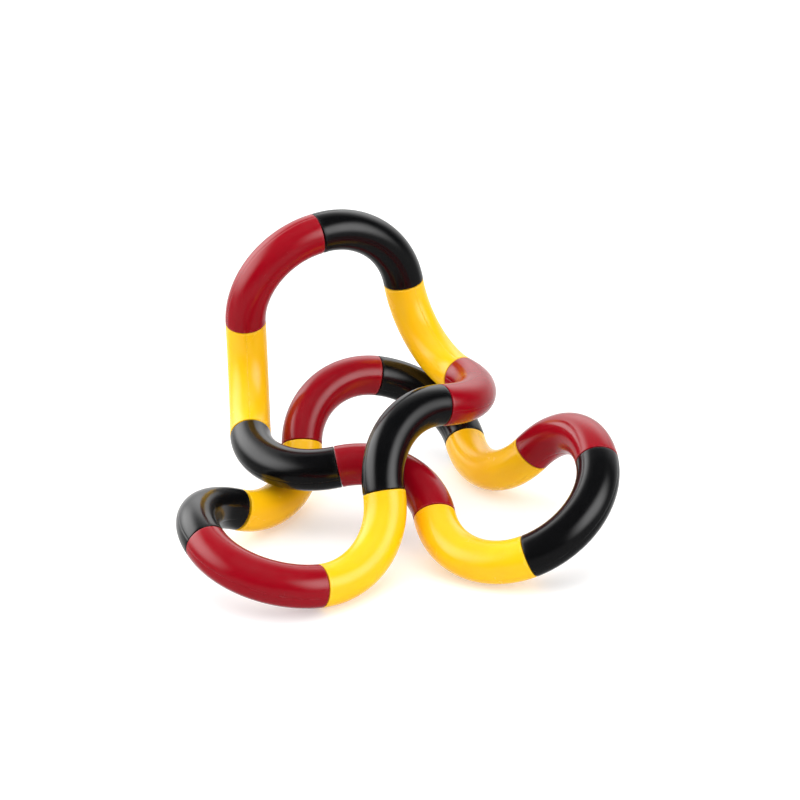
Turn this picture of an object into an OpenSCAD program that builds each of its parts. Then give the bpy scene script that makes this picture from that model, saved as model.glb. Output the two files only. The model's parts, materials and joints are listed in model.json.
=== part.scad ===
// Twisty snake puzzle: a closed ring of eighteen quarter-bend tube sections.
// Each section is two half shells, parted on the plane of its bend, with a snap
// stud clamped in its far end. The stud's four fingers snap behind the web in the
// near end of the next section, so the two sections can swivel on one another.
// The ring stands on a table, twisted up on three of its bends.

/* [Ring] */
// Number of sections in the ring
sections = 18; // [18]
// Radius of each bend, on the centre line of the tube
bend_radius = 20; // [18:0.5:24]
// Outside diameter of the tube
tube_d = 10; // [9:0.1:10.4]
// Thickness of the tube wall
wall = 1.4; // [1.3:0.1:1.6]
// Gap between the faces of two joined sections
seam_gap = 0.2; // [0.1:0.05:0.3]
// Chamfer round the rim of each end face
rim_chamfer = 0.25; // [0.1:0.05:0.4]

/* [Twisted pose] */
// Turn of each section on the one before it: 0 goes on round the same circle, 180 makes an S
twists = [113, -13, -99, 69, 121, -174, 46, 18, -138, 160, -25, -108, 175, -29, -9, -165, -163, -80]; // degrees
// Seams that lean open, from the play of their studs: [section after the seam, counted from 0, degrees]
leans = [[0, 2.5], [1, -3], [7, -2], [17, 3]]; // degrees
// Sections that stand on the table, counted from 0: front, back left and back right
feet = [5, 8, 11]; // [0:17]
// Section whose socket is the ring's open pivot, counted from 0
open_socket = 8; // [8]
// Gap between the two faces at the open pivot
open_gap = 0.7; // [0.65:0.05:1]

/* [Snap stud] */
// Diameter of the stud's shank
shank_d = 4.4; // [4:0.1:4.8]
// Running clearance round the shank in the socket, on the radius, with room to lean
running_clearance = 0.12; // [0.1:0.01:0.14]
// Diameter of the snap head
head_d = 5.9; // [5.6:0.1:6.2]
// Length of the snap head
head_length = 1.7; // [1.4:0.1:2]
// Diameter of the flange that the shells clamp
flange_d = 6.6; // [6:0.1:6.8]
// Thickness of the flange
flange_t = 0.9; // [0.7:0.1:1.1]
// Width of the slots between the fingers
slot_w = 0.7; // [0.5:0.1:0.9]
// Diameter of the hole up the middle of the fingers
core_d = 2; // [1.6:0.1:2.2]

/* [Shell ends] */
// Thickness of the web that the stud passes through, at each end
web_t = 1.2; // [1:0.1:1.4]
// Diameter of the chamber that the snap head turns in
chamber_d = 7; // [6.8:0.1:7.1]
// Thickness of the rib behind the stud's flange
rib_t = 1; // [0.8:0.1:1.2]
// Thickness of the tongue along the edge of shell a
tongue_t = 0.4; // [0.3:0.05:0.5]
// Height of the tongue
tongue_h = 0.5; // [0.3:0.1:0.7]
// Clearance round the tongue in the groove of shell b
tongue_clearance = 0.05; // [0.03:0.01:0.1]

/* [Hidden] */
$fn = 64;
PIECES = ["shell_a", "shell_b", "stud"];

RED = [0.72, 0.06, 0.1];
BLACK = [0.09, 0.09, 0.1];
YELLOW = [0.98, 0.8, 0.1];
SHELL_COLORS = [RED, BLACK, YELLOW];
STUD_COLOR = [0.88, 0.88, 0.84];

tube_r = tube_d / 2;
cavity_r = tube_r - wall;
socket_r = shank_d / 2 + running_clearance;
closing_steps = 8;
levelling_steps = 10;

// Overlap that joins two cuts, length that carries a cut past a surface, and a whole half space.
lap = 0.01;
past = 1;
half_space_size = 6 * bend_radius;

// Fits round the stud: end play of the head, room behind it, and the seat that holds it.
head_play = 0.2;
head_room = 0.9;
seat_clearance = 0.02;
flange_clearance = 0.05;

// Places along the stud's axis, from the middle of the seam, positive into the socket.
web_back = seam_gap / 2 + web_t;
shoulder = web_back + head_play;
head_land = 0.4;
head_tip_d = 3.8;
head_end = shoulder + head_length;
chamber_depth = head_end + head_room;
finger_root = -0.4;
core_root = -0.7;
cut_stud_end = -open_gap / 2 - 0.1;
flange_top = -seam_gap / 2 - web_t;
flange_bottom = flange_top - flange_t;
rib_bottom = flange_bottom - rib_t;

// The hollow of the tube starts inside the chamber and ends behind the rib.
cavity_lap = 0.4;
cavity_start = asin((chamber_depth - cavity_lap) / bend_radius);
cavity_end = asin(-rib_bottom / bend_radius);

// The tongue's distance from the tube's centre line, and the angle it leaves free at each end.
tongue_cover = 0.6;
tongue_r = tube_r - tongue_cover - tongue_t / 2;
tongue_end = 7;
groove_end = tongue_end - 0.5;

// ---------------------------------------------------------------- the ring's pose
// A frame is [point, direction, bend normal] at the start of a section.

function node_name(i, piece) = str("section_", i < 9 ? "0" : "", i + 1, "_", piece);
function unit(v) = v / norm(v);
function side(f) = cross(f[1], f[2]);
function turned(v, axis, angle) =
    v * cos(angle) + cross(axis, v) * sin(angle) + axis * (axis * v) * (1 - cos(angle));

// Lean of the seam before section i, in the plane of the bend before it: below 0 the
// seam stands open at the inside of that bend, above 0 at the outside.
function lean(i) = let (found = search(i, leans)) len(found) > 0 ? leans[found[0]][1] : 0;

// Frame at the start of section i, which leans and is twisted on the one before it.
function next_frame(f, i, twist) =
    let (start = f[0] + bend_radius * (f[1] + f[2]))
    let (direction = turned(f[2], side(f), lean(i)))
    let (untwisted = turned(-f[1], side(f), lean(i)))
    [start, direction, turned(untwisted, direction, twist)];
function chain(angles, f, i = 0) =
    i == sections ? [f]
    : let (next = (i + 1) % sections)
      concat([f], chain(angles, next_frame(f, next, angles[next]), i + 1));

FIRST = [[0, 0, 0], [1, 0, 0], [0, 1, 0]];

// How far the end of the chain misses its start: three lengths over the bend
// radius, then three small turns in radians.
function miss(a, z) =
    let (shift = (z[0] - a[0]) / bend_radius)
    let (turn = (cross(a[1], z[1]) + cross(a[2], z[2]) + cross(side(a), side(z))) / 2)
    [each shift, each turn];

// What a small turn at each swivel does to that miss.
function effect(f, z) = [each (cross(f[1], z[0] - f[0]) / bend_radius), each f[1]];
function effects(fs) =
    let (z = fs[sections])
    [for (i = [0 : sections - 1]) i == 0 ? effect(z, z) : effect(fs[i], z)];

// Solves a small symmetric set of equations, given with its right side as a last column.
function solved(m, k = 0) =
    k == len(m) ? [for (row = m) row[len(m)]]
    : let (pivot = m[k] / m[k][k])
      solved([for (i = [0 : len(m) - 1]) i == k ? pivot : m[i] - m[i][k] * pivot], k + 1);

// The least change of the twists that closes the ring, by Newton's method.
function closed(angles, steps) =
    steps == 0 ? angles
    : let (fs = chain(angles, FIRST))
      let (cols = effects(fs))
      let (rows = [for (r = [0 : 5]) [for (c = cols) c[r]]])
      let (square = rows * cols)
      let (gap = miss(FIRST, fs[sections]))
      let (w = solved([for (r = [0 : 5]) [each square[r], gap[r]]]))
      closed(angles - (cols * w) * 180 / PI, steps - 1);

angles = closed(twists, closing_steps);
loose = chain(angles, FIRST);

// Point on a section's centre line, and its lowest one seen from the direction up.
function on_bend(f, a) = f[0] + bend_radius * (sin(a) * f[1] + (1 - cos(a)) * f[2]);
function dip(f, up) = let (a = atan2(-up * f[1], up * f[2])) a < 0 ? a + 180 : a;
function lowest(f, up) =
    let (a = dip(f, up))
    let (ends = up * on_bend(f, 0) < up * on_bend(f, 90) ? 0 : 90)
    let (best = a > 0 && a < 90 && up * on_bend(f, a) < up * on_bend(f, ends) ? a : ends)
    on_bend(f, best);
function level_up(p) = unit(cross(p[0] - p[1], p[2] - p[1]));
function levelled(up, steps) =
    steps == 0 ? up : levelled(level_up([for (i = feet) lowest(loose[i], up)]), steps - 1);

first_up = level_up([for (i = feet) on_bend(loose[i], 45)]);
up = levelled(first_up, levelling_steps);
toes = [for (i = feet) lowest(loose[i], up)];
right = unit(toes[2] - toes[1]);
TURN = [right, cross(up, right), up];

// The ring stands on z = 0, and the middle of its box is at x = 0, y = 0.
function reach(direction) = max([for (i = [0 : sections - 1])
    direction * lowest(loose[i], -direction)]);
centre = [for (k = [0 : 1]) (reach(TURN[k]) - reach(-TURN[k])) / 2];
SHIFT = [-centre[0], -centre[1], tube_r - up * toes[0]];
FRAMES = [for (f = loose) [TURN * f[0] + SHIFT, TURN * f[1], TURN * f[2]]];

// ---------------------------------------------------------------- placing

// Puts a section drawn about its arc's centre, starting at [bend_radius, 0, 0] along +Y.
module in_place(i) {
    f = FRAMES[i];
    o = f[0] + bend_radius * f[2];
    b = side(f);
    multmatrix([
        [-f[2][0], f[1][0], b[0], o[0]],
        [-f[2][1], f[1][1], b[1], o[1]],
        [-f[2][2], f[1][2], b[2], o[2]],
    ]) children();
}

// Puts what is drawn along +Z from the face plane into the start of a section.
module at_start() {
    translate([bend_radius, 0, 0]) rotate([-90, 0, 0]) children();
}

// The same at the far end, where +Z points out of the section.
module at_end() {
    translate([0, bend_radius, 0]) rotate([0, -90, 0]) children();
}

// Gap between the faces in the middle of the seam before section i. A leaning seam
// is half a seam gap wide at its closed side.
function gap(i) =
    i == open_socket ? open_gap
    : lean(i) == 0 ? seam_gap
    : seam_gap / 2 + tube_r * sin(abs(lean(i)));
function start_gap(i) = gap(i);
function end_gap(i) = gap((i + 1) % sections);

// ---------------------------------------------------------------- a section's shells

module bent_rod(d, from = 0, to = 90) {
    rotate([0, 0, from])
        rotate_extrude(angle = to - from)
            translate([bend_radius, 0])
                circle(d = d);
}

module bore(d, low, high) {
    translate([0, 0, low]) cylinder(d = d, h = high - low);
}

// Ring that chamfers the rim of a face at height z, cutting towards +Z.
module rim_cutter(z) {
    rotate_extrude()
        polygon([
            [tube_r - rim_chamfer, z],
            [tube_r + past, z],
            [tube_r + past, z + rim_chamfer + past],
        ]);
}

// Socket for the last section's stud: a hole through the web, and the chamber behind it.
module socket_hollow(face) {
    bore(2 * socket_r, -past, web_back + lap);
    bore(chamber_d, web_back, chamber_depth);
    bore(2 * tube_d, -past, face);
    rim_cutter(face);
}

// Seat for the section's own stud, drawn with +Z out of the section.
module stud_seat(face) {
    seat_d = shank_d + 2 * seat_clearance;
    bore(seat_d, flange_top - lap, past);
    bore(flange_d + 2 * flange_clearance, flange_bottom, flange_top);
    bore(seat_d, rib_bottom - past, flange_bottom + lap);
    bore(2 * tube_d, -face, past);
    mirror([0, 0, 1]) rim_cutter(face);
}

module hollow_section(i) {
    difference() {
        bent_rod(tube_d);
        bent_rod(2 * cavity_r, cavity_start, 90 - cavity_end);
        at_start() socket_hollow(start_gap(i) / 2);
        at_end() stud_seat(end_gap(i) / 2);
    }
}

// Tongue, or the groove for it, along both edges of the parting plane.
module tongues(thickness, height, end) {
    rotate([0, 0, end])
        rotate_extrude(angle = 90 - 2 * end)
            for (x = [-tongue_r, tongue_r])
                translate([bend_radius + x - thickness / 2, -height])
                    square([thickness, height]);
}

module half_space(below) {
    size = half_space_size;
    translate([-size / 2, -size / 2, below ? -size : 0]) cube(size);
}

module shell_a(i) {
    color(SHELL_COLORS[i % 3]) in_place(i) union() {
        difference() {
            hollow_section(i);
            half_space(true);
        }
        tongues(tongue_t, tongue_h, tongue_end);
    }
}

module shell_b(i) {
    color(SHELL_COLORS[i % 3]) in_place(i) difference() {
        hollow_section(i);
        half_space(false);
        translate([0, 0, lap])
            tongues(
                tongue_t + 2 * tongue_clearance,
                tongue_h + tongue_clearance + lap,
                groove_end
            );
    }
}

// ---------------------------------------------------------------- the snap stud

module snap_head() {
    translate([0, 0, shoulder]) cylinder(d = head_d, h = head_land);
    translate([0, 0, shoulder + head_land])
        cylinder(d1 = head_d, d2 = head_tip_d, h = head_length - head_land);
}

module finger_slots() {
    for (a = [0, 90])
        rotate([0, 0, a])
            translate([-tube_r, -slot_w / 2, finger_root])
                cube([tube_d, slot_w, head_end - finger_root + past]);
    bore(core_d, core_root, head_end + past);
}

module stud_body() {
    bore(flange_d, flange_bottom, flange_top);
    bore(shank_d, flange_top - lap, shoulder + lap);
    snap_head();
}

// The stud at the open pivot is cut off behind its own face, so that the ring can part there.
module stud(i) {
    is_open = (i + 1) % sections == open_socket;
    color(STUD_COLOR) in_place(i) at_end() difference() {
        stud_body();
        finger_slots();
        if (is_open) bore(tube_d, cut_stud_end, head_end + past);
    }
}

for (i = [0 : sections - 1]) {
    shell_a(i);
    shell_b(i);
    stud(i);
}
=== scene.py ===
"""Twisty snake puzzle: a closed ring of eighteen quarter-bend tube sections in glossy moulded plastic.

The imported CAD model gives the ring's frame: its joints say where every section starts and which way it runs.
Each CAD half shell is replaced by a smooth moulding with rounded rims and a fine parting line.
The snap studs inside keep their CAD shape and get a plastic of their own.
"""
import json
from math import asin, cos, pi, radians, sin, sqrt
from typing import NamedTuple

import bpy
from mathutils import Matrix, Vector


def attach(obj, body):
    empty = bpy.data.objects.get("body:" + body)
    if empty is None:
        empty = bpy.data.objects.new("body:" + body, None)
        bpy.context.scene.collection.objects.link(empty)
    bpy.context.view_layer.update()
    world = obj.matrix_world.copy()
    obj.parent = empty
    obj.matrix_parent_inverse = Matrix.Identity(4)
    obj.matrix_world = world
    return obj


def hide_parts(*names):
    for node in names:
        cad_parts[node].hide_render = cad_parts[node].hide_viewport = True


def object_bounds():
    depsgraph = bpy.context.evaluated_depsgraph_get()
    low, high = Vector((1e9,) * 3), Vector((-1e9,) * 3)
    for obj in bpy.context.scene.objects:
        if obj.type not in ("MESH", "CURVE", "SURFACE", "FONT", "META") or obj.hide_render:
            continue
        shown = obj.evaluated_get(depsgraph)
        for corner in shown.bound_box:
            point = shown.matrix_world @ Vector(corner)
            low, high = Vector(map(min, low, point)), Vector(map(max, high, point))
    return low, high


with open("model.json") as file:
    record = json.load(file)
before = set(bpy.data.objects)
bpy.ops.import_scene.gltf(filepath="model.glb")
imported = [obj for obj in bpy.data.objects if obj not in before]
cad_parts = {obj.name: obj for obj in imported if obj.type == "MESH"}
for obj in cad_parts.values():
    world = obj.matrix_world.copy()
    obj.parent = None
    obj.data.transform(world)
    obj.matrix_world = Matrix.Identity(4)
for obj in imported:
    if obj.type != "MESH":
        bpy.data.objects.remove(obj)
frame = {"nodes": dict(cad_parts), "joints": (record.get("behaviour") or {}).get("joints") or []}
CAD_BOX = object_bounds()

MM = 0.001

# ---------------------------------------------------------------- the ring, in metres
SECTIONS = 18
COLOURS = ("red", "black", "yellow")
TUBE_R = 5 * MM
RIM_ROUND = 0.18 * MM

# The gap between the faces at a seam, and at the open pivot. A seam that leans keeps half the seam gap at its
# closed side, and one that leans by less than the least lean counts as square.
SEAM_GAP = 0.2 * MM
OPEN_GAP = 0.7 * MM
LEAST_LEAN = radians(0.5)

# Inside: the hole in each web, the hollow of the tube, and the web's inner face from the middle of the seam.
BORE_R = 2.32 * MM
CAVITY_R = 3.6 * MM
WEB_BACK = 1.3 * MM

# The parting line: how wide and deep each half's edge is broken, and half the gap between the halves.
PARTING_W = 0.04 * MM
PARTING_DEPTH = 0.022 * MM
PARTING_GAP = 0.004 * MM

# Steps of the mesh: along a section, round half of the tube, and over each rim. Edges that turn by more than
# the sharp angle stay sharp.
RINGS = 56
AROUND = 36
RIM_STEPS = 5
SHARP_ANGLE = radians(35)

# How many steps of the mesh the wear reaches in from an edge.
WEAR_REACH = 1.5


def section_name(index):
    return f"section_{index % SECTIONS + 1:02d}"


def ring_frames():
    """Gives the sections' frames, the bend radius and the number of the section after the open pivot.

    A frame is (start point, direction, bend normal), and the section goes bend radius * (direction + normal).
    The tree leaves one pivot open. The two sections that meet there share a direction, so the span from the
    pivot before it to the one after it gives that pivot too."""
    starts = [None] * SECTIONS
    directions = [None] * SECTIONS
    for joint in frame["joints"]:
        # The last number in a swivel's name is that of the section that starts there.
        index = int(joint["name"].split("_")[-1]) - 1
        starts[index] = Vector(joint["pos_m"])
        directions[index] = Vector(joint["axis"]).normalized()
    opened = directions.index(None)
    before = opened - 1
    after = (opened + 1) % SECTIONS

    # A quarter bend's ends are sqrt(2) bend radii apart.
    radii = [(end - start).length / sqrt(2) for start, end in zip(starts, starts[1:]) if start and end]
    bend_radius = sum(radii) / len(radii)
    span = (starts[after] - starts[before]) / bend_radius
    directions[opened] = ((span - directions[before] - directions[after]) / 2).normalized()
    starts[opened] = starts[before] + bend_radius * (directions[before] + directions[opened])

    frames = []
    for i, (start, direction) in enumerate(zip(starts, directions)):
        step = (starts[(i + 1) % SECTIONS] - start) / bend_radius
        frames.append((start, direction, (step - direction).normalized()))
    return frames, bend_radius, opened


FRAMES, BEND_RADIUS, OPEN_SOCKET = ring_frames()


# ---------------------------------------------------------------- mesh of a half shell

class Station(NamedTuple):
    """A point of the shell's cut outline, at a radius from the tube's centre line.

    end is "start" or "finish" where value is a distance in from that face. It is "along" where value is a
    share of the way between the two leads, which are distances in from the start's and the finish's face."""
    radius: float
    end: str
    value: float
    leads: tuple = None


def face_gap(seam):
    """Half the gap in the middle of the seam before section number seam."""
    seam %= SECTIONS
    if seam == OPEN_SOCKET:
        return OPEN_GAP / 2
    lean = FRAMES[seam - 1][2].angle(FRAMES[seam][1])
    if lean < LEAST_LEAN:
        return SEAM_GAP / 2
    return (SEAM_GAP / 2 + TUBE_R * sin(lean)) / 2


def shell_profile(webs):
    """Stations of the shell's cut outline, in four lists: outside, finish's bore, inside and start's bore.

    The outside goes over the start's rim, along the tube and over the finish's rim. The inside comes back.
    webs is the thickness of the web at the start and at the finish."""
    quarter = [radians(90) * k / RIM_STEPS for k in range(RIM_STEPS + 1)]
    rim = [(TUBE_R - RIM_ROUND + RIM_ROUND * sin(a), RIM_ROUND * (1 - cos(a))) for a in quarter]
    start_rim = [Station(radius, "start", inwards) for radius, inwards in rim]
    finish_rim = [Station(radius, "finish", inwards) for radius, inwards in reversed(rim)]
    tube = [Station(TUBE_R, "along", k / RINGS, (RIM_ROUND, RIM_ROUND)) for k in range(1, RINGS)]
    inside = [Station(CAVITY_R, "along", k / RINGS, webs) for k in range(RINGS, -1, -1)]
    finish_bore = [Station(BORE_R, "finish", 0), Station(BORE_R, "finish", webs[1])]
    start_bore = [Station(BORE_R, "start", webs[0]), Station(BORE_R, "start", 0)]
    return start_rim + tube + finish_rim, finish_bore, inside, start_bore


def bend_angle(rho, station, gaps):
    """Angle round the bend of a point at distance rho from the bend's axis."""
    def from_start(inwards):
        return asin((gaps[0] + inwards) / rho)

    def from_finish(inwards):
        return pi / 2 - asin((gaps[1] + inwards) / rho)

    if station.end == "start":
        return from_start(station.value)
    if station.end == "finish":
        return from_finish(station.value)
    low = from_start(station.leads[0])
    high = from_finish(station.leads[1])
    return low + (high - low) * station.value


def on_section(place, rho, angle, z):
    """Point in the part's frame, from a section's frame and the bend's own cylinder coordinates."""
    start, direction, normal = place
    centre = start + BEND_RADIUS * normal
    side = direction.cross(normal)
    return centre - rho * cos(angle) * normal + rho * sin(angle) * direction + z * side


def half_ring(place, station, gaps, half, broken_edge):
    """One station's points, from the outer side of the bend over the top to the inner side."""
    radius = station.radius
    low_edge = asin(PARTING_W / radius)
    angles = [low_edge + (pi - 2 * low_edge) * k / AROUND for k in range(AROUND + 1)]
    points = [(BEND_RADIUS + radius * cos(a), radius * sin(a)) for a in angles]
    edge_r = radius - (PARTING_DEPTH if broken_edge else 0)
    points = [(BEND_RADIUS + edge_r, PARTING_GAP), *points, (BEND_RADIUS - edge_r, PARTING_GAP)]
    return [on_section(place, rho, bend_angle(rho, station, gaps), half * z) for rho, z in points]


def wear_of(station, across, width):
    """How near a point is to an edge that hands rub: 1 on the rim or the parting line, 0 well away or inside.

    across is the point's number on its ring, which has width points."""
    if station.radius <= CAVITY_R:
        return 0.0
    from_rim = min(station.value, 1 - station.value) * RINGS if station.end == "along" else 0
    from_parting = min(across, width - 1 - across)
    return max(1 - from_rim / WEAR_REACH, 1 - from_parting / WEAR_REACH, 0.0)


def skin_faces(count, width):
    """Quads from each station's ring of points to the next one's, all the way round the cut outline."""
    faces = []
    for ring in range(count):
        here = ring * width
        there = (ring + 1) % count * width
        for k in range(width - 1):
            faces.append((here + k, here + k + 1, there + k + 1, there + k))
    return faces


def parting_faces(count, width, first_inside, column):
    """Faces that meet the other half, at one column of points.

    They are a strip between the outside and the inside, and a piece at each end."""
    def at(station):
        return station % count * width + column

    faces = []
    for k in range(RINGS):
        outside = RIM_STEPS + k
        inside = first_inside + RINGS - k
        faces.append((at(outside), at(outside + 1), at(inside - 1), at(inside)))
    # The outline ends with the last station inside and the two of the start's bore. The start's rim follows.
    last_inside = -3
    start_end = range(last_inside, RIM_STEPS + 1)
    finish_end = range(RIM_STEPS + RINGS, first_inside + 1)
    faces.append(tuple(at(station) for station in start_end))
    faces.append(tuple(at(station) for station in finish_end))
    return faces


def half_shell(name, index, half):
    """Closed mesh of one half of a section: half is 1 for shell a and -1 for shell b."""
    gaps = (face_gap(index), face_gap(index + 1))
    outside, finish_bore, inside, start_bore = shell_profile([WEB_BACK - gap for gap in gaps])
    stations = outside + finish_bore + inside + start_bore
    rings = [half_ring(FRAMES[index], station, gaps, half, broken_edge=k < len(outside))
             for k, station in enumerate(stations)]
    count = len(stations)
    width = len(rings[0])
    first_inside = len(outside) + len(finish_bore)
    faces = skin_faces(count, width)
    faces += parting_faces(count, width, first_inside, 0)
    faces += [face[::-1] for face in parting_faces(count, width, first_inside, width - 1)]
    if half > 0:
        faces = [face[::-1] for face in faces]

    mesh = bpy.data.meshes.new(name)
    mesh.from_pydata([point for ring in rings for point in ring], [], faces)
    wear = mesh.attributes.new("wear", "FLOAT", "POINT")
    wear.data.foreach_set("value", [wear_of(station, k, width) for station in stations for k in range(width)])
    obj = bpy.data.objects.new(name, mesh)
    bpy.context.scene.collection.objects.link(obj)
    mesh.shade_smooth()
    mesh.set_sharp_from_angle(angle=SHARP_ANGLE)
    return obj


# ---------------------------------------------------------------- node trees

class Tree:
    """Short calls for building a node tree. A value is a number, a vector, a colour or a node's output."""

    # Entries of the mixer when it mixes colours.
    MIX_SHARE = 0
    MIX_FIRST = 6
    MIX_SECOND = 7

    def __init__(self, tree):
        self.tree = tree

    def node(self, kind, **settings):
        node = self.tree.nodes.new(kind)
        for key, value in settings.items():
            setattr(node, key, value)
        return node

    def feed(self, node, entries):
        """Joins or sets a node's entries, from a dict of their names or numbers."""
        for key, value in entries.items():
            entry = node.inputs[key]
            if isinstance(value, bpy.types.NodeSocket):
                self.tree.links.new(value, entry)
            elif entry.type == "RGBA":
                entry.default_value = (*value, 1)
            else:
                entry.default_value = value

    def ranged(self, value, source, target, **settings):
        """value, taken from the source range to the target range and kept inside it."""
        node = self.node("ShaderNodeMapRange", **settings)
        limits = zip(("From Min", "From Max", "To Min", "To Max"), (*source, *target))
        self.feed(node, {"Value": value, **dict(limits)})
        return node.outputs["Result"]

    def math(self, operation, *values):
        node = self.node("ShaderNodeMath", operation=operation)
        self.feed(node, dict(enumerate(values)))
        return node.outputs["Value"]

    def mixed(self, share, first, second):
        """Colour that goes from first to second as share goes from 0 to 1."""
        node = self.node("ShaderNodeMix", data_type="RGBA")
        self.feed(node, {self.MIX_SHARE: share, self.MIX_FIRST: first, self.MIX_SECOND: second})
        return node.outputs["Result"]

    def split(self, vector):
        """The outputs X, Y and Z of a vector."""
        node = self.node("ShaderNodeSeparateXYZ")
        self.feed(node, {"Vector": vector})
        return node.outputs


class Material(Tree):
    """A principled material whose patterns lie in the object's own coordinates."""

    def __init__(self, name):
        self.material = bpy.data.materials.new(name)
        self.material.use_nodes = True
        super().__init__(self.material.node_tree)
        self.tree.nodes.clear()
        self.shader = self.node("ShaderNodeBsdfPrincipled")
        self.feed(self.node("ShaderNodeOutputMaterial"), {"Surface": self.shader.outputs["BSDF"]})
        self.place = self.node("ShaderNodeTexCoord").outputs["Object"]

    def noise(self, scale, detail=2.0, roughness=0.5, distortion=0.0, output="Fac"):
        """Cloudy pattern, with scale features in a metre."""
        node = self.node("ShaderNodeTexNoise")
        self.feed(node, {"Vector": self.place, "Scale": scale, "Detail": detail,
                         "Roughness": roughness, "Distortion": distortion})
        return node.outputs[output]

    def relief(self, height, strength, depth):
        """Gives the surface the relief of a height pattern."""
        bump = self.node("ShaderNodeBump")
        self.feed(bump, {"Strength": strength, "Distance": depth, "Height": height})
        self.feed(self.shader, {"Normal": bump.outputs["Normal"]})


# ---------------------------------------------------------------- glossy plastics
PLASTIC_IOR = 1.47

# Light that scatters inside the plastic: how far each colour goes, as shares of the scale.
SCATTER_SHARES = (1.0, 0.55, 0.2)
SCATTER_SCALE = 1.2 * MM

# How far a rubbed edge goes to the worn colour.
RUBBED_TONE = 0.35

# What smears, scratches and rubbing add to the roughness.
SMEAR_DULLNESS = 0.09
SCRATCH_DULLNESS = 0.05
RUBBED_DULLNESS = 0.15

# Heights in the relief, in parts of its depth.
WAVE_HEIGHT = 0.6
PEEL_HEIGHT = 0.1
SCRATCH_CUT = 0.015
SKIN_STRENGTH = 0.22
SKIN_DEPTH = 0.06 * MM

# How far noise bends the scratches, and how wide they are, in parts of a cell.
SCRATCH_BEND = 4 * MM
SCRATCH_WIDTH = 0.012


def pigment(m, colour, deep):
    """The plastic's colour, with broad clouds of a deeper tone and a fine mottle."""
    clouds = m.noise(scale=70, detail=3, roughness=0.55, distortion=0.6)
    mottle = m.noise(scale=1500)
    cloud_share = m.ranged(clouds, source=(0.35, 0.7), target=(0, 0.75))
    mottle_share = m.ranged(mottle, source=(0.3, 0.75), target=(0, 0.2))
    return m.mixed(m.math("ADD", cloud_share, mottle_share), colour, deep)


def rubbing(m):
    """How much hands have rubbed the surface: the rims and the parting line, broken up into patches."""
    wear = m.node("ShaderNodeAttribute", attribute_name="wear").outputs["Fac"]
    patches = m.noise(scale=420, detail=4, roughness=0.65)
    return m.math("MULTIPLY", wear, m.ranged(patches, source=(0.38, 0.62), target=(0, 1)))


def hairlines(m):
    """Hairline scratches: the edges of large bent cells, kept in a few patches."""
    bent = m.node("ShaderNodeVectorMath", operation="MULTIPLY_ADD")
    m.feed(bent, {0: m.noise(scale=160, output="Color"), 1: (SCRATCH_BEND,) * 3, 2: m.place})
    cells = m.node("ShaderNodeTexVoronoi", feature="DISTANCE_TO_EDGE")
    m.feed(cells, {"Vector": bent.outputs["Vector"], "Scale": 260})
    lines = m.ranged(cells.outputs["Distance"], source=(0, SCRATCH_WIDTH), target=(1, 0))
    patches = m.ranged(m.noise(scale=210, detail=1), source=(0.52, 0.62), target=(0, 1))
    return m.math("MULTIPLY", lines, patches)


def dullness(m, gloss, rubbed, scratches):
    """Roughness: the gloss, smears from fingers, and duller scratches and edges."""
    smears = m.noise(scale=120, detail=5, roughness=0.6, distortion=1.2)
    smeared = m.ranged(smears, source=(0.42, 0.72), target=(gloss, gloss + SMEAR_DULLNESS))
    scratched = m.math("ADD", smeared, m.math("MULTIPLY", scratches, SCRATCH_DULLNESS))
    return m.math("ADD", scratched, m.math("MULTIPLY", rubbed, RUBBED_DULLNESS))


def moulded_skin(m, scratches):
    """Height of the skin: slow waves and fine orange peel, with the scratches cut into it."""
    waves = m.math("MULTIPLY", m.noise(scale=260, detail=1), WAVE_HEIGHT)
    peel = m.math("MULTIPLY", m.noise(scale=1300, roughness=0.4), PEEL_HEIGHT)
    cuts = m.math("MULTIPLY", scratches, SCRATCH_CUT)
    return m.math("SUBTRACT", m.math("ADD", waves, peel), cuts)


def glossy_plastic(name, colour, deep, worn, gloss, glow=0.0):
    """Moulded plastic: uneven pigment, orange-peel skin, hairline scratches, faint smears and rubbed edges.

    gloss is the roughness of a clean spot, and glow the share of light that scatters inside."""
    m = Material(name)
    rubbed = rubbing(m)
    scratches = hairlines(m)
    rubbed_share = m.math("MULTIPLY", rubbed, RUBBED_TONE)
    m.feed(m.shader, {
        "Base Color": m.mixed(rubbed_share, pigment(m, colour, deep), worn),
        "Roughness": dullness(m, gloss, rubbed, scratches),
        "IOR": PLASTIC_IOR,
        "Subsurface Weight": glow,
        "Subsurface Radius": SCATTER_SHARES,
        "Subsurface Scale": SCATTER_SCALE,
    })
    m.relief(moulded_skin(m, scratches), SKIN_STRENGTH, SKIN_DEPTH)
    return m.material


def red_plastic():
    return glossy_plastic("red_plastic", colour=(0.29, 0.0007, 0.0075), deep=(0.26, 0.0006, 0.0066),
                          worn=(0.32, 0.005, 0.015), gloss=0.18)


def black_plastic():
    return glossy_plastic("black_plastic", colour=(0.0033, 0.0034, 0.0038), deep=(0.0024, 0.0025, 0.0029),
                          worn=(0.011, 0.011, 0.011), gloss=0.17)


def yellow_plastic():
    return glossy_plastic("yellow_plastic", colour=(0.95, 0.545, 0.006), deep=(0.94, 0.49, 0.004),
                          worn=(0.96, 0.57, 0.03), gloss=0.2, glow=0.08)


# ---------------------------------------------------------------- other materials

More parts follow.
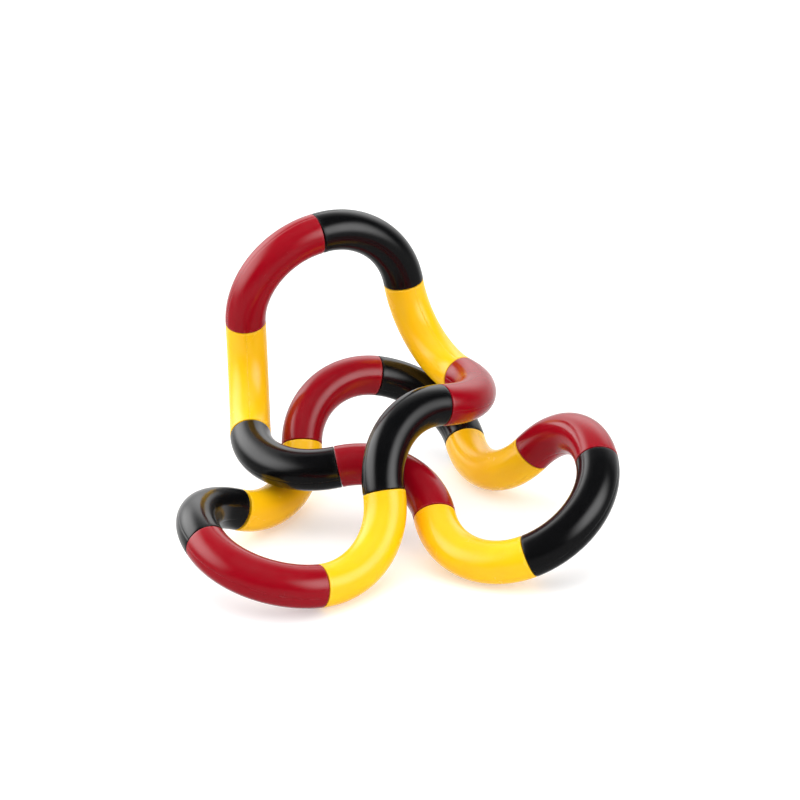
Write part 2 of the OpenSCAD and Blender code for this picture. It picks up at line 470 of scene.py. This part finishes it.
def natural_plastic(name):
    """Milky unpainted plastic of the snap studs, a little waxy."""
    m = Material(name)
    clouds = m.ranged(m.noise(scale=300, detail=3), source=(0.3, 0.7), target=(0, 1))
    polish = m.noise(scale=900, detail=4)
    m.feed(m.shader, {
        "Base Color": m.mixed(clouds, (0.80, 0.79, 0.72), (0.70, 0.68, 0.60)),
        "Roughness": m.ranged(polish, source=(0.3, 0.7), target=(0.32, 0.5)),
        "Subsurface Weight": 0.15,
        "Subsurface Radius": (1.0, 0.9, 0.75),
        "Subsurface Scale": 1.5 * MM,
    })
    m.relief(m.noise(scale=2400), strength=0.25, depth=0.03 * MM)
    return m.material


def paper_floor(name):
    """Matt white paper with a faint light of its own, which keeps it white outside the soft shadows."""
    m = Material(name)
    fibre = m.ranged(m.noise(scale=900, detail=4, roughness=0.6), source=(0.3, 0.7), target=(0, 1))
    m.feed(m.shader, {
        "Base Color": m.mixed(fibre, (0.77, 0.77, 0.77), (0.75, 0.75, 0.745)),
        "Roughness": 0.6,
        "Specular IOR Level": 0.2,
        "Emission Color": (1, 1, 1),
        "Emission Strength": 0.34,
    })
    return m.material


# ---------------------------------------------------------------- the object

def dress_sections():
    """Replaces each half shell, and gives each stud its plastic."""
    plastics = {"red": red_plastic(), "black": black_plastic(), "yellow": yellow_plastic()}
    stud_plastic = natural_plastic("stud_plastic")
    for index in range(SECTIONS):
        section = section_name(index)
        colour = COLOURS[index % len(COLOURS)]
        for letter, half in (("a", 1), ("b", -1)):
            piece = half_shell(f"{section}_half_{letter}", index, half)
            piece.data.materials.append(plastics[colour])
            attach(piece, section)
            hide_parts(f"{section}_shell_{letter}")
        stud = frame["nodes"][f"{section}_stud"]
        stud.data.materials.clear()
        stud.data.materials.append(stud_plastic)


# ---------------------------------------------------------------- floor, light and camera

CENTRE = (CAD_BOX[0] + CAD_BOX[1]) / 2
FLOOR_SIZE = 8.0

# Camera: compass angle and height of the line of sight, roll, and what it looks at, from the box's middle.
# Angles are in degrees here, and lengths in metres unless their name says millimetres.
VIEW_AZIMUTH = -12.96
VIEW_ELEVATION = 25.07
VIEW_ROLL = 5.02
AIM_OFFSET = Vector((6.7, -1.72, -0.37)) * MM
VIEW_DISTANCE = 641.4 * MM
LENS_MM = 122.87
SENSOR_MM = 36
CLIP_NEAR = 0.01
CLIP_FAR = 50

# How far in from its edges a softbox's cloth fades, as a share of its size.
CLOTH_FADE = 0.42

# The world's brightness below and above the horizon, and how far a ray rises where it changes.
GROUND_GLOW = 0.2
ROOM_GLOW = 0.012
HORIZON = (-0.15, 0.1)

# The white sweep behind the object, and the cosines of the angles where it begins and where it is full.
SWEEP_GLOW = 0.85
SWEEP_EDGE = (0.3, 0.85)


def towards(azimuth, elevation):
    """Unit vector from the object at an azimuth, which goes to the right from the front, and an elevation."""
    a = radians(azimuth)
    e = radians(elevation)
    return Vector((sin(a) * cos(e), -cos(a) * cos(e), sin(e)))


def facing(back, roll=0.0):
    """Rotation that looks along -back, with +Y up, rolled about the line of sight."""
    right = Vector((0, 0, 1)).cross(back).normalized()
    up = back.cross(right)
    turn = Matrix((right, up, back)).transposed()
    return turn @ Matrix.Rotation(roll, 3, "Z")


def add_floor():
    half = FLOOR_SIZE / 2
    mesh = bpy.data.meshes.new("floor")
    corners = [(-half, -half, 0), (half, -half, 0), (half, half, 0), (-half, half, 0)]
    mesh.from_pydata(corners, [], [(0, 1, 2, 3)])
    mesh.materials.append(paper_floor("floor_paper"))
    floor = bpy.data.objects.new("floor", mesh)
    floor.visible_glossy = False
    bpy.context.scene.collection.objects.link(floor)


def cloth_fade(tree):
    """Brightness over a softbox's cloth: 1 in the middle, and smoothly down to 0 at its edges."""
    across = tree.split(tree.node("ShaderNodeNewGeometry").outputs["Parametric"])
    fades = []
    for axis in ("X", "Y"):
        from_middle = tree.math("ABSOLUTE", tree.math("SUBTRACT", across[axis], 0.5))
        fades.append(tree.ranged(from_middle, source=(0.5, 0.5 - CLOTH_FADE), target=(0, 1),
                                 interpolation_type="SMOOTHSTEP"))
    return tree.math("MULTIPLY", *fades)


def add_softbox(name, turn, elevation, distance, size, radiance, mirrored=True):
    """Rectangular softbox that faces the object, turned from the camera's azimuth.

    radiance is how bright the middle of its cloth looks. A softbox that isn't mirrored makes no highlight."""
    width, height = size
    light = bpy.data.lights.new(name, "AREA")
    light.shape = "RECTANGLE"
    light.size = width
    light.size_y = height
    light.energy = radiance * pi * width * height
    light.use_nodes = True
    tree = Tree(light.node_tree)
    tree.feed(light.node_tree.nodes["Emission"], {"Strength": cloth_fade(tree)})
    obj = bpy.data.objects.new(name, light)
    back = towards(VIEW_AZIMUTH + turn, elevation)
    obj.matrix_world = Matrix.Translation(CENTRE + back * distance) @ facing(back).to_4x4()
    obj.visible_glossy = mirrored
    obj.visible_camera = False
    bpy.context.scene.collection.objects.link(obj)


def add_lights():
    """A wide panel at the left, a narrower one at the right front, a weak one behind, and soft fill."""
    add_softbox("panel_left", turn=-105, elevation=28, distance=0.62, size=(1.7, 0.8), radiance=3.6)
    add_softbox("panel_right", turn=57, elevation=24, distance=0.75, size=(1.1, 0.85), radiance=3.8)
    add_softbox("panel_back", turn=165, elevation=26, distance=0.90, size=(1.7, 0.8), radiance=1.1)
    add_softbox("fill_top", turn=0, elevation=88, distance=1.3, size=(2.6, 2.6), radiance=2.85,
                mirrored=False)
    add_softbox("fill_front", turn=0, elevation=35, distance=1.3, size=(1.9, 1.3), radiance=1.15,
                mirrored=False)


def add_world():
    """Dark studio: what shines in the plastics is a grey ground and, behind the object, a white sweep."""
    world = bpy.data.worlds.new("studio")
    world.use_nodes = True
    tree = Tree(world.node_tree)
    ray = tree.node("ShaderNodeTexCoord").outputs["Generated"]
    ground = tree.ranged(tree.split(ray)["Z"], source=HORIZON, target=(GROUND_GLOW, ROOM_GLOW))
    behind = tree.node("ShaderNodeVectorMath", operation="DOT_PRODUCT")
    tree.feed(behind, {0: ray, 1: -towards(VIEW_AZIMUTH, 0)})
    sweep = tree.ranged(behind.outputs["Value"], source=SWEEP_EDGE, target=(0, SWEEP_GLOW))
    background = world.node_tree.nodes["Background"]
    tree.feed(background, {"Color": (1, 1, 1), "Strength": tree.math("ADD", ground, sweep)})
    bpy.context.scene.world = world


def add_camera():
    camera = bpy.data.cameras.new("camera")
    camera.lens = LENS_MM
    camera.sensor_width = SENSOR_MM
    camera.clip_start = CLIP_NEAR
    camera.clip_end = CLIP_FAR
    obj = bpy.data.objects.new("camera", camera)
    back = towards(VIEW_AZIMUTH, VIEW_ELEVATION)
    turn = facing(back, radians(-VIEW_ROLL))
    obj.matrix_world = Matrix.Translation(CENTRE + AIM_OFFSET + back * VIEW_DISTANCE) @ turn.to_4x4()
    bpy.context.scene.collection.objects.link(obj)
    bpy.context.scene.camera = obj


dress_sections()
add_floor()
add_lights()
add_world()
add_camera()
bpy.context.scene.view_settings.view_transform = "Standard"
